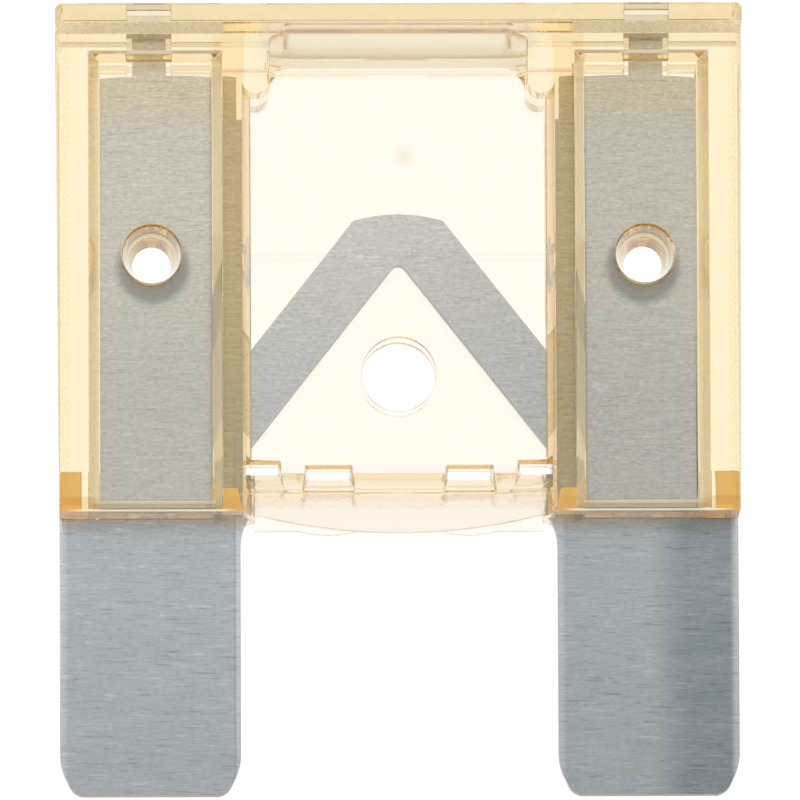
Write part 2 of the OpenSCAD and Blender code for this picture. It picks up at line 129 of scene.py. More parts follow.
@dataclass(frozen=True)
class Patch:
    """A box of a piece that its finish treats in its own way, in millimetres.

    The fade is the width of its soft border, as a share of the half size. A patch lies on both sides of
    the fuse alike, or on one side only.
    """

    centre: Place
    half: Place
    fade: float = 0.1
    both_sides: bool = True

    def mask(self, tree: Tree, place: Socket, folded: Socket) -> Socket:
        """Makes the mask: one inside the box, fading to zero outside.

        Args:
            tree: The material's node tree.
            place: The Object coordinates.
            folded: The same folded onto the right side.

        Returns:
            The mask's socket.
        """
        scale = [1 / (half * MM) for half in self.half]
        local = add_node(tree, "ShaderNodeMapping", {
            "Location": [-centre * MM * k for centre, k in zip(self.centre, scale)], "Scale": scale},
            {"Vector": folded if self.both_sides else place})
        away = add_node(tree, "ShaderNodeVectorMath", {"operation": "ABSOLUTE"}, {0: local.outputs[0]})
        parts = add_node(tree, "ShaderNodeSeparateXYZ", {}, {0: away.outputs[0]})
        far = parts.outputs[0]
        for part in parts.outputs[1:]:
            far = add_node(tree, MATH, {"operation": "MAXIMUM"}, {0: far, 1: part}).outputs[0]
        return add_node(tree, RANGE, {
            "interpolation_type": "SMOOTHSTEP", "From Min": 1 + self.fade, "From Max": 1.0},
            {"Value": far}).outputs[0]


@dataclass(frozen=True)
class Spot:
    """A round spot of a piece as seen from the front, in millimetres: full inside, gone outside."""

    centre: Pair
    inner: float
    outer: float
    both_sides: bool = True

    def mask(self, tree: Tree, place: Socket, folded: Socket) -> Socket:
        """Makes the mask: one up to the inner radius, fading to zero at the outer.

        Args:
            tree: The material's node tree.
            place: The Object coordinates.
            folded: The same folded onto the right side.

        Returns:
            The mask's socket.
        """
        local = add_node(tree, "ShaderNodeMapping", {
            "Location": (-self.centre[0], -self.centre[1], 0.0), "Scale": (1 / MM, 1 / MM, 0.0)},
            {"Vector": folded if self.both_sides else place})
        away = add_node(tree, "ShaderNodeVectorMath", {"operation": "LENGTH"}, {0: local.outputs[0]})
        return add_node(tree, RANGE, {
            "interpolation_type": "SMOOTHSTEP", "From Min": self.outer, "From Max": self.inner},
            {"Value": away.outputs["Value"]}).outputs[0]


def add_masks(tree: Tree, place: Socket, patches: Any) -> dict[str, Socket]:
    """Makes the mask of each patch of a piece.

    Args:
        tree: The material's node tree.
        place: The Object coordinates.
        patches: The dataclass whose fields are the patches and spots.

    Returns:
        Each mask's socket by the name of its patch.
    """
    parts = add_node(tree, "ShaderNodeSeparateXYZ", {}, {0: place}).outputs
    across = add_node(tree, MATH, {"operation": "ABSOLUTE"}, {0: parts[0]}).outputs[0]
    folded = add_node(tree, "ShaderNodeCombineXYZ", {}, {0: across, 1: parts[1], 2: parts[2]}).outputs[0]
    return {field.name: getattr(patches, field.name).mask(tree, place, folded) for field in fields(patches)}


@dataclass(frozen=True)
class HousingPatches:
    """Where the housing's finish differs: what goes through its depth, then what its front half has."""

    # The hollow sweep over the window, where a cutter has left its marks
    sweep: Patch = Patch((0, 15.3, MIDDLE), (5.6, 0.72, THROUGH), 0.12)
    # The skirt under the window
    skirt: Patch = Patch((0, -5.0, MIDDLE), (6.5, 0.9, 2.2))
    # The outer side faces
    sides: Patch = Patch((14.9, 0, MIDDLE), (0.32, 15.5, THROUGH), 0.2)
    # The cap, and the step under it
    cap: Patch = Patch((0, 16.6, MIDDLE), (WIDE, 0.5, THROUGH))
    under_cap: Patch = Patch((11.2, 15.9, MIDDLE), (3.5, 0.16, THROUGH))
    # The sill of the window and the small windows in it
    windows: Patch = Patch((3.2, -3.2, MIDDLE), (3.4, 0.75, THROUGH))
    sill: Patch = Patch((0, -3.5, MIDDLE), (6.2, 0.36, THROUGH), 0.3)
    # The relief at the outer back corners
    relief: Patch = Patch((14.2, -3.3, MIDDLE), (0.9, 1.2, THROUGH))
    # The witness line across the window, and the gate mark in it
    seam: Patch = Patch((4.8, 6.41, MIDDLE), (1.55, 0.025, THROUGH))
    gate: Spot = Spot((0.28, 10.8), 0.05, 0.6, both_sides=False)
    # The cones of the panel holes, which get a painted gold shade and a painted bronze reflection
    cone: Spot = Spot((10.61, 6.35), 1.26, 1.3)
    # The whole front half
    front: Patch = Patch((0, 0, 9.0), (WIDE, WIDE, 4.0))
    # The front of the post between window and panel, and the panel's wall beside it, tinted darker as painted
    # shade
    post: Patch = Patch((7.3, 5.0, 7.7), (0.62, 9.9, 0.2), 0.15)
    flank: Patch = Patch((7.84, 5.1, 7.15), (0.2, 9.3, 0.5))
    # The outer edge of the side strip
    brink: Patch = Patch((14.4, 5.0, 7.5), (0.2, 9.6, 0.5), 0.3)
    # The rail under a panel, darker tan as painted shade; the panel's foot wall, and the wall's lower and
    # upper edges
    ledge: Patch = Patch((10.9, -4.75, 6.3), (4.0, 0.42, 1.6), 0.05)
    foot_slope: Patch = Patch((10.6, -4.72, 7.15), (2.8, 0.2, 0.5), 0.05)
    foot_edge: Patch = Patch((10.6, -4.47, 6.6), (2.75, 0.1, 0.25), 0.2)
    foot_rim: Patch = Patch((10.6, -4.95, 7.65), (3.0, 0.06, 0.2), 0.3)
    # The top rim of a panel
    top_rim: Patch = Patch((10.55, 14.93, 7.65), (2.8, 0.07, 0.25), 0.15)
    # The ends of the sweep's lower edge, where the tool marks are deepest
    strokes: Patch = Patch((3.6, 14.5, 7.7), (2.0, 0.3, 2.0), 0.3)


@dataclass(frozen=True)
class ClearResin:
    """Natural sulfone resin, injection moulded: water clear where thin, gold where light runs far in it.

    The eye sees polished faces with hard edges, satin where the mould is spark eroded, and faint lines
    where a cutter has left its marks in the hollow sweep.
    """

    name: str = "polyethersulfone_moulded_clear"
    patches: HousingPatches = HousingPatches()
    ior: float = 1.65
    density: float = 90.0  # of the absorption, for each metre
    passes: Place = (0.956, 0.739, 0.111)  # what the absorption lets through
    clear: str = "FFFDFC"  # level faces
    wall: str = "FCF2DE"  # steep faces
    cone_reflection: str = "D0A868"  # painted reflection: the bronze that the cones of the holes reflect
    neutral: str = "FFFFFF"
    # The tint of each patch, laid over each other in this order
    tints: tuple[tuple[str, str], ...] = (
        ("post", "F6E3BB"), ("marked", "FFFAF7"), ("sill", "FAF0DC"), ("cone", "A88C3C"),
        ("under_cap", "FFF5D8"), ("dots", "F7DCA2"), ("gate", "FAF6F0"), ("ledge", "EAD2A0"),
        ("flank", "F2E0B4"), ("brows", "FFF5D8"), ("seam", "F9F6F3"), ("blotches", "E4E2DE"))
    # How much each patch but the foot slope scatters the light, and the sum at which none passes straight
    hazes: tuple[tuple[str, float], ...] = (
        ("flank", 1.0), ("brows", 1.8), ("top_rim", 1.2), ("sweep_front", 0.5), ("under_front", 1.8))
    full_haze: float = 2.0
    steep_at: Pair = (0.95, 0.3)  # how level a face is where the wall's tint begins and where it is full
    window_plain: float = 0.8  # how much of the wall's tint the small windows lose
    gloss: float = 0.02  # roughness of the polished faces
    satin: float = 0.3  # roughness of the spark eroded and tool marked faces
    skirt_share: float = 0.5  # the skirt's share of the satin and the grain
    window_share: float = 0.25  # the small windows' share of the satin
    front_share: float = 0.4  # the share of the satin that the sweep has at the front
    blotch: float = 1.1  # size of the cloudy spots of the cap in millimetres
    grit: float = 0.14  # grain of the spark eroded faces in millimetres, coarser than real so that it shows
    dot_at: Pair = (0.35, 0.7)  # levels of the grain where a dot begins and where it is full
    brink_dots: float = 0.6  # share of the dots at the edge of the side strip
    tool_step: float = 0.13  # from one tool mark to the next in millimetres, coarser than real
    tool_stretch: float = 0.15  # how much slower the tool marks change along their length
    tool_turn: float = 0.35  # slant of the tool marks in radians
    faint_marks: float = 0.15  # share of the tool marks away from the sweep's lower edge
    grain_height: float = 0.02  # of the grain and the tool marks in millimetres
    grain_strength: float = 0.8

    def add_mixed_masks(self, tree: Tree, place: Socket, grain: Socket, masks: dict[str, Socket]) -> None:
        """Adds the masks that are made of others.

        Args:
            tree: The material's node tree.
            place: The Object coordinates.
            grain: The grain of the spark eroded faces.
            masks: The masks of the patches, which the new ones join.
        """
        for name, operation, first, second in (
                ("marked", "MAXIMUM", "sweep", "skirt"), ("brows", "MAXIMUM", "foot_edge", "foot_rim"),
                ("grainy", "MAXIMUM", "under_cap", "sides"), ("sweep_front", "MULTIPLY", "sweep", "front"),
                ("under_front", "MULTIPLY", "under_cap", "front")):
            masks[name] = add_node(tree, MATH, {"operation": operation},
                                   {0: masks[first], 1: masks[second]}).outputs[0]
        cloud = add_node(tree, NOISE, {"Scale": 1 / (self.blotch * MM), "Detail": 2.0}, {"Vector": place})
        masks["blotches"] = add_node(tree, MATH, {"operation": "MULTIPLY"},
                                     {0: masks["cap"], 1: cloud.outputs["Fac"]}).outputs[0]
        dots = add_node(tree, RANGE, {"From Min": self.dot_at[0], "From Max": self.dot_at[1]},
                        {"Value": grain})
        rows = add_node(tree, MATH, {"operation": "MULTIPLY_ADD", 1: self.brink_dots},
                        {0: masks["brink"], 2: masks["under_cap"]})
        masks["dots"] = add_node(tree, MATH, {"operation": "MULTIPLY"},
                                 {0: dots.outputs[0], 1: rows.outputs[0]}).outputs[0]
        masks["rough"] = add_node(tree, MATH, {"operation": "MULTIPLY_ADD", 1: self.skirt_share},
                                  {0: masks["skirt"], 2: masks["grainy"]}).outputs[0]

    def tint(self, tree: Tree, normal: Socket, masks: dict[str, Socket]) -> Socket:
        """Tints the steep faces, which light leaves at a slant, and then each patch.

        Args:
            tree: The material's node tree.
            normal: The Object space normal.
            masks: The masks by name.

        Returns:
            The colour's socket.
        """
        facing = add_node(tree, "ShaderNodeSeparateXYZ", {}, {0: normal})
        level = add_node(tree, MATH, {"operation": "ABSOLUTE"}, {0: facing.outputs[2]})
        steep = add_node(tree, RANGE, {"From Min": self.steep_at[0], "From Max": self.steep_at[1]},
                         {"Value": level.outputs[0]})
        plain = add_node(tree, MATH, {"operation": "MULTIPLY_ADD", 1: self.window_plain},
                         {0: masks["windows"], 2: masks["marked"]})
        plain = add_node(tree, MATH, {"operation": "ADD"}, {0: plain.outputs[0], 1: masks["relief"]})
        steep = add_node(tree, MATH, {"operation": "SUBTRACT", "use_clamp": True},
                         {0: steep.outputs[0], 1: plain.outputs[0]})
        skin = add_node(tree, MIX, {"data_type": "RGBA", MIX_A: srgb(self.clear), MIX_B: srgb(self.wall)},
                        {"Factor": steep.outputs[0]})
        for name, code in self.tints:
            skin = add_node(tree, MIX, {"data_type": "RGBA", MIX_B: srgb(code)},
                            {MIX_A: skin.outputs[MIX_OUT], "Factor": masks[name]})
        return skin.outputs[MIX_OUT]

    def passing(self, tree: Tree, masks: dict[str, Socket]) -> Socket:
        """Makes the share of light that passes straight: less on blunted edges and satin faces.

        Args:
            tree: The material's node tree.
            masks: The masks by name.

        Returns:
            The share's socket.
        """
        haze = masks["foot_slope"]  # of weight one
        for name, weight in self.hazes:
            haze = add_node(tree, MATH, {"operation": "MULTIPLY_ADD", 1: weight},
                            {0: masks[name], 2: haze}).outputs[0]
        return add_node(tree, RANGE, {"From Max": self.full_haze, "To Min": 1.0, "To Max": 0.0},
                        {"Value": haze}).outputs[0]

    def roughness(self, tree: Tree, masks: dict[str, Socket]) -> Socket:
        """Makes the roughness: satin on eroded and tool marked faces, less so on the sweep's front.

        Args:
            tree: The material's node tree.
            masks: The masks by name.

        Returns:
            The roughness's socket.
        """
        blur = add_node(tree, MATH, {"operation": "MULTIPLY_ADD", 1: self.window_share},
                        {0: masks["windows"], 2: masks["rough"]})
        share = add_node(tree, RANGE, {"To Min": 1.0, "To Max": self.front_share}, {"Value": masks["front"]})
        blur = add_node(tree, MATH, {"operation": "MULTIPLY_ADD"},
                        {0: masks["sweep"], 1: share.outputs[0], 2: blur.outputs[0]})
        return add_node(tree, RANGE, {"To Min": self.gloss, "To Max": self.satin},
                        {"Value": blur.outputs[0]}).outputs[0]

    def texture(self, tree: Tree, place: Socket, grain: Socket, masks: dict[str, Socket]) -> Socket:
        """Raises the grain of the eroded faces and the tool marks of the sweep.

        Args:
            tree: The material's node tree.
            place: The Object coordinates.
            grain: The grain of the spark eroded faces.
            masks: The masks by name.

        Returns:
            The raised normal's socket.
        """
        tool = add_node(tree, "ShaderNodeMapping", {
            "Scale": (1.0, self.tool_stretch, self.tool_stretch), "Rotation": (0, 0, self.tool_turn)},
            {"Vector": place})
        marks = add_node(tree, NOISE, {"Scale": 1 / (self.tool_step * MM), "Detail": 0.0},
                         {"Vector": tool.outputs[0]})
        height = add_node(tree, MATH, {"operation": "MULTIPLY"}, {0: grain, 1: masks["rough"]})
        strokes = add_node(tree, MATH, {"operation": "MULTIPLY_ADD", 1: self.faint_marks},
                           {0: masks["sweep"], 2: masks["strokes"]})
        height = add_node(tree, MATH, {"operation": "MULTIPLY_ADD"},
                          {0: marks.outputs["Fac"], 1: strokes.outputs[0], 2: height.outputs[0]})
        return add_node(tree, "ShaderNodeBump", {
            "Strength": self.grain_strength, "Distance": self.grain_height * MM},
            {"Height": height.outputs[0]}).outputs["Normal"]

    def build(self) -> bpy.types.Material:
        """Builds the resin's material."""
        material, tree, output = new_material(self.name)
        coords = add_node(tree, "ShaderNodeTexCoord").outputs
        place = coords["Object"]
        masks = add_masks(tree, place, self.patches)
        grain = add_node(tree, NOISE, {"Scale": 1 / (self.grit * MM), "Detail": 0.0},
                         {"Vector": place}).outputs["Fac"]
        self.add_mixed_masks(tree, place, grain, masks)
        # Painted reflection: the cones' reflections are tinted bronze
        sheen = add_node(tree, MIX, {
            "data_type": "RGBA", MIX_A: srgb(self.neutral), MIX_B: srgb(self.cone_reflection)},
            {"Factor": masks["cone"]})
        shader = add_node(tree, "ShaderNodeBsdfPrincipled", {"IOR": self.ior}, {
            "Base Color": self.tint(tree, coords["Normal"], masks),
            "Normal": self.texture(tree, place, grain, masks),
            "Roughness": self.roughness(tree, masks),
            "Transmission Weight": self.passing(tree, masks),
            "Specular Tint": sheen.outputs[MIX_OUT]})
        body = add_node(tree, "ShaderNodeVolumeAbsorption", {
            "Color": (*self.passes, 1.0), "Density": self.density})
        tree.links.new(shader.outputs[0], output.inputs["Surface"])
        tree.links.new(body.outputs[0], output.inputs["Volume"])
        return material


@dataclass(frozen=True)
class StripPatches:
    """Where the strip's finish differs."""

    # The blades outside the housing, and the stain on the right one
    bare: Patch = Patch((0, -11.9, MIDDLE), (WIDE, 6.9, THROUGH), 0.05)
    stain: Patch = Patch((14.4, -11.9, MIDDLE), (1.9, 7.2, THROUGH), 1.0, both_sides=False)
    # The blades' rounded edges, which get a painted highlight, and a painted shade line beside the left
    # blade's inner edge
    inner_edge: Patch = Patch((6.87, -11.4, MIDDLE), (0.08, 6.2, THROUGH), 3.0)
    outer_edge: Patch = Patch((14.58, -11.4, MIDDLE), (0.08, 6.2, THROUGH), 4.0)
    groove: Patch = Patch((-7.07, -11.4, MIDDLE), (0.03, 5.9, THROUGH), 1.2, both_sides=False)
    # Painted shadow on the plating round each panel hole, centred a little below it
    collar: Spot = Spot((10.55, 5.88), 1.3, 1.8)
    # The tips of the blades, and the link between them, whose cut edges are darkened as painted shade
    tips: Patch = Patch((0, -17.0, MIDDLE), (WIDE, 0.3, THROUGH), 0.5)
    link: Patch = Patch((0, 2.0, MIDDLE), (6.7, 6.0, THROUGH), 0.02)


@dataclass(frozen=True)
class TinPlate:
    """Tin plated copper alloy strip, rolled and stamped: satin grey with fine rolling lines.

    The eye sees soft streaks along the rolling direction, a painted highlight along the blades'
    rounded edges, and a warm cut at the tips, where the copper shows.
    """

    name: str = "copper_alloy_tin_plated_rolled"
    patches: StripPatches = StripPatches()
    bright: str = "DADEDF"  # upper part, under the resin
    foot: str = "CDD5DC"  # lower part, under the resin
    # The tone of each patch, laid over each other in this order
    # The rounded edges' tone is a painted highlight
    tones: tuple[tuple[str, str], ...] = (
        ("head", "E2DDCC"), ("bare", "B4BABC"), ("stained", "8F999D"), ("rounded_edges", "C9CCCE"))
    sheared: str = "B4B0A8"  # cut edges
    copper: str = "9A7258"  # cut edges of the tips
    shaded: str = "84898E"  # cut edges of the link, darkened as painted shade
    cut_at: Pair = (0.4, 0.1)  # how level a face is where a cut edge's tone begins and where it is full
    foot_at: Pair = (7.0, 0.0)  # heights in millimetres where the foot's tone begins and where it is full
    head_at: Pair = (11.8, 13.2)  # the same of the head's tone
    smooth: float = 0.18  # least roughness
    dull: float = 0.34  # most roughness
    cut_sheen: float = 0.8  # how much less a cut edge reflects at a slant

    # Rolling lines, which are finer on the real strip, and soft patches among them, in millimetres
    line: float = 0.09
    line_stretch: float = 0.08
    line_depth: float = 0.006
    line_strength: float = 0.5
    cloud: float = 1.6
    cloud_stretch: float = 0.4
    cloud_share: float = 0.7
    streak_at: Pair = (0.55, 1.15)
    streak_to: Pair = (0.9, 1.06)
    # Short scratches along the lines, more vivid on the bare blades
    dash: float = 0.1
    dash_stretch: float = 0.11
    light_at: Pair = (0.62, 0.75)
    light_by: float = 0.14
    dark_at: Pair = (0.38, 0.25)
    dark_by: float = -0.16
    vivid: float = 1.7
    # Specks, calmer on the bare blades
    speck: float = 0.11
    speck_stretch: float = 0.5
    speck_at: Pair = (0.25, 0.75)
    speck_to: Pair = (-0.13, 0.14)
    calm: float = 0.55
    # Where the stain is thin, and how thin
    stain_at: Pair = (0.35, 0.6)
    stain_least: float = 0.55
    # Painted shade: shadow round each hole, the edge shade line, darker downwards and on the right
    collar_dim: float = 0.5
    groove_dim: float = 0.8
    covered_at: Pair = (-5.0, 9.0)
    covered_to: Pair = (0.92, 1.0)
    bare_at: Pair = (-17.0, -5.0)
    bare_to: Pair = (0.9, 1.08)
    right_at: float = 6.0
    right_shade_dim: float = 0.9

    def tone(self, tree: Tree, height: Socket, cloud: Socket, masks: dict[str, Socket]) -> Socket:
        """Colours the plating: brighter under the resin, duller and stained where it is handled.

        Args:
            tree: The material's node tree.
            height: The Y coordinate.
            cloud: The soft patches.
            masks: The masks by name, which the mixed ones join.

        Returns:
            The colour's socket.
        """
        patchy = add_node(tree, RANGE, {
            "From Min": self.stain_at[0], "From Max": self.stain_at[1], "To Min": self.stain_least},
            {"Value": cloud})
        stain = add_node(tree, MATH, {"operation": "MULTIPLY"}, {0: masks["stain"], 1: patchy.outputs[0]})
        edges = add_node(tree, MATH, {"operation": "MAXIMUM"},
                         {0: masks["inner_edge"], 1: masks["outer_edge"]})
        # The rounded edges of the bare blades get a painted highlight
        for name, part in (("stained", stain), ("rounded_edges", edges)):
            masks[name] = add_node(tree, MATH, {"operation": "MULTIPLY"},
                                   {0: part.outputs[0], 1: masks["bare"]}).outputs[0]
        head, low = (add_node(tree, RANGE, {"From Min": at[0] * MM, "From Max": at[1] * MM},
                              {"Value": height}).outputs[0] for at in (self.head_at, self.foot_at))
        masks["head"] = head
        tone = add_node(tree, MIX, {"data_type": "RGBA", MIX_A: srgb(self.bright), MIX_B: srgb(self.foot)},
                        {"Factor": low})
        for name, code in self.tones:
            tone = add_node(tree, MIX, {"data_type": "RGBA", MIX_B: srgb(code)},
                            {MIX_A: tone.outputs[MIX_OUT], "Factor": masks[name]})
        return tone.outputs[MIX_OUT]

    def grain(self, tree: Tree, place: Socket, size: float, stretch: float, **settings: float) -> Socket:
        """Makes a grain that is drawn out along the rolling direction.

        Args:
            tree: The material's node tree.
            place: The Object coordinates.
            size: Size across the rolling direction in millimetres.
            stretch: How much slower it changes along the rolling direction.
            settings: The further settings of the noise.

        Returns:
            The grain's socket.
        """
        along = add_node(tree, "ShaderNodeMapping", {"Scale": (stretch, 1.0, 1.0)}, {"Vector": place})
        return add_node(tree, NOISE, {"Scale": 1 / (size * MM), **settings},
                        {"Vector": along.outputs["Vector"]}).outputs["Fac"]

    def scratches(self, tree: Tree, place: Socket, masks: dict[str, Socket]) -> list[Socket]:
        """Makes the short scratches along the rolling direction and the finer specks.

        Args:
            tree: The material's node tree.
            place: The Object coordinates.
            masks: The masks by name.

        Returns:
            The sockets of both, each lighter or darker around zero.
        """
        dashes = self.grain(tree, place, self.dash, self.dash_stretch, Detail=1.0)
        light, dark = (add_node(tree, RANGE, {"From Min": at[0], "From Max": at[1], "To Max": by},
                                {"Value": dashes})
                       for at, by in ((self.light_at, self.light_by), (self.dark_at, self.dark_by)))
        dash = add_node(tree, MATH, {"operation": "ADD"}, {0: light.outputs[0], 1: dark.outputs[0]})
        worn = add_node(tree, MATH, {"operation": "ADD"}, {0: masks["bare"], 1: masks["stained"]})
        vivid = add_node(tree, RANGE, {"From Max": 2.0, "To Min": 1.0, "To Max": self.vivid},
                         {"Value": worn.outputs[0]})
        specks = self.grain(tree, place, self.speck, self.speck_stretch, Detail=2.0)
        speck = add_node(tree, RANGE, {
            "From Min": self.speck_at[0], "From Max": self.speck_at[1],
            "To Min": self.speck_to[0], "To Max": self.speck_to[1]}, {"Value": specks})
        calm = add_node(tree, RANGE, {"To Min": 1.0, "To Max": self.calm}, {"Value": masks["bare"]})
        return [add_node(tree, MATH, {"operation": "MULTIPLY"},
                         {0: mark.outputs[0], 1: strength.outputs[0]}).outputs[0]
                for mark, strength in ((dash, vivid), (speck, calm))]

    def painted_shade_factors(self, tree: Tree, across: Socket, height: Socket, masks: dict[str, Socket]) -> list[Socket]:
        """Makes the painted shade: shadow round the holes, an edge shade line, darker downwards and on the
        right.

        Args:
            tree: The material's node tree.
            across: The X coordinate.
            height: The Y coordinate.
            masks: The masks by name.

        Returns:
            The sockets of the factors.
        """
        # Painted shade: darker towards the bottom under the resin, and towards the tips on the bare blades
        slopes = ((self.covered_at, self.covered_to), (self.bare_at, self.bare_to))
        covered, bare = (add_node(tree, RANGE, {
            "From Min": at[0] * MM, "From Max": at[1] * MM, "To Min": to[0], "To Max": to[1]},
            {"Value": height}) for at, to in slopes)
        fall = add_node(tree, MIX, {}, {0: masks["bare"], 2: covered.outputs[0], 3: bare.outputs[0]})
        # Painted shadow round each panel hole
        collar = add_node(tree, RANGE, {"To Min": 1.0, "To Max": self.collar_dim}, {"Value": masks["collar"]})
        # Painted shade line beside the left blade's inner edge
        groove = add_node(tree, RANGE, {"To Min": 1.0, "To Max": self.groove_dim}, {"Value": masks["groove"]})
        # Painted shade on the right side of the strip
        right = add_node(tree, RANGE, {
            "From Max": self.right_at * MM, "To Min": 1.0, "To Max": self.right_shade_dim}, {"Value": across})
        return [factor.outputs[0] for factor in (collar, groove, fall, right)]

    def shade(self, tree: Tree, place: Socket, lines: Socket, cloud: Socket,
              masks: dict[str, Socket]) -> Socket:
        """Makes how light the plating is: streaks and scratches, and dimmer where shade is painted on it.

        Args:
            tree: The material's node tree.
            place: The Object coordinates.
            lines: The rolling lines.
            cloud: The soft patches.
            masks: The masks by name.

        Returns:
            The lightness's socket, about one.
        """
        where = add_node(tree, "ShaderNodeSeparateXYZ", {}, {0: place}).outputs
        streak = add_node(tree, MATH, {"operation": "MULTIPLY_ADD", 1: self.cloud_share},
                          {0: cloud, 2: lines})
        shade = add_node(tree, RANGE, {
            "From Min": self.streak_at[0], "From Max": self.streak_at[1],
            "To Min": self.streak_to[0], "To Max": self.streak_to[1]},
            {"Value": streak.outputs[0]}).outputs[0]
        for mark in self.scratches(tree, place, masks):
            shade = add_node(tree, MATH, {"operation": "ADD"}, {0: shade, 1: mark}).outputs[0]
        for factor in self.painted_shade_factors(tree, where[0], where[1], masks):
            shade = add_node(tree, MATH, {"operation": "MULTIPLY"}, {0: shade, 1: factor}).outputs[0]
        return shade

    def build(self) -> bpy.types.Material:
        """Builds the strip's material."""
        material, tree, output = new_material(self.name)
        coords = add_node(tree, "ShaderNodeTexCoord").outputs
        place = coords["Object"]
        masks = add_masks(tree, place, self.patches)
        lines = self.grain(tree, place, self.line, self.line_stretch, Detail=4.0)
        cloud = self.grain(tree, place, self.cloud, self.cloud_stretch, Detail=5.0, Roughness=0.6)
        height = add_node(tree, "ShaderNodeSeparateXYZ", {}, {0: place}).outputs[1]
        tone = self.tone(tree, height, cloud, masks)
        shade = self.shade(tree, place, lines, cloud, masks)
        plate = add_node(tree, "ShaderNodeVectorMath", {"operation": "SCALE"}, {0: tone, "Scale": shade})
        facing = add_node(tree, "ShaderNodeSeparateXYZ", {}, {0: coords["Normal"]})
        level = add_node(tree, MATH, {"operation": "ABSOLUTE"}, {0: facing.outputs[2]})
        edge = add_node(tree, RANGE, {"From Min": self.cut_at[0], "From Max": self.cut_at[1]},
                        {"Value": level.outputs[0]}).outputs[0]
        cut = add_node(tree, MIX, {"data_type": "RGBA", MIX_A: srgb(self.sheared), MIX_B: srgb(self.copper)},
                       {"Factor": masks["tips"]})
        cut = add_node(tree, MIX, {"data_type": "RGBA", MIX_B: srgb(self.shaded)},
                       {"Factor": masks["link"], MIX_A: cut.outputs[MIX_OUT]})
        skin = add_node(tree, MIX, {"data_type": "RGBA"},
                        {"Factor": edge, MIX_A: plate.outputs[0], MIX_B: cut.outputs[MIX_OUT]})
        bump = add_node(tree, "ShaderNodeBump", {
            "Strength": self.line_strength, "Distance": self.line_depth * MM}, {"Height": lines})
        rough = add_node(tree, RANGE, {"To Min": self.smooth, "To Max": self.dull}, {"Value": cloud})
        sheen = add_node(tree, RANGE, {"To Min": 1.0, "To Max": self.cut_sheen}, {"Value": edge})
        shader = add_node(tree, "ShaderNodeBsdfPrincipled", {"Metallic": 1.0}, {
            "Base Color": skin.outputs[MIX_OUT], "Roughness": rough.outputs[0],
            "Normal": bump.outputs["Normal"], "Specular Tint": sheen.outputs[0]})
        tree.links.new(shader.outputs[0], output.inputs["Surface"])
        return material


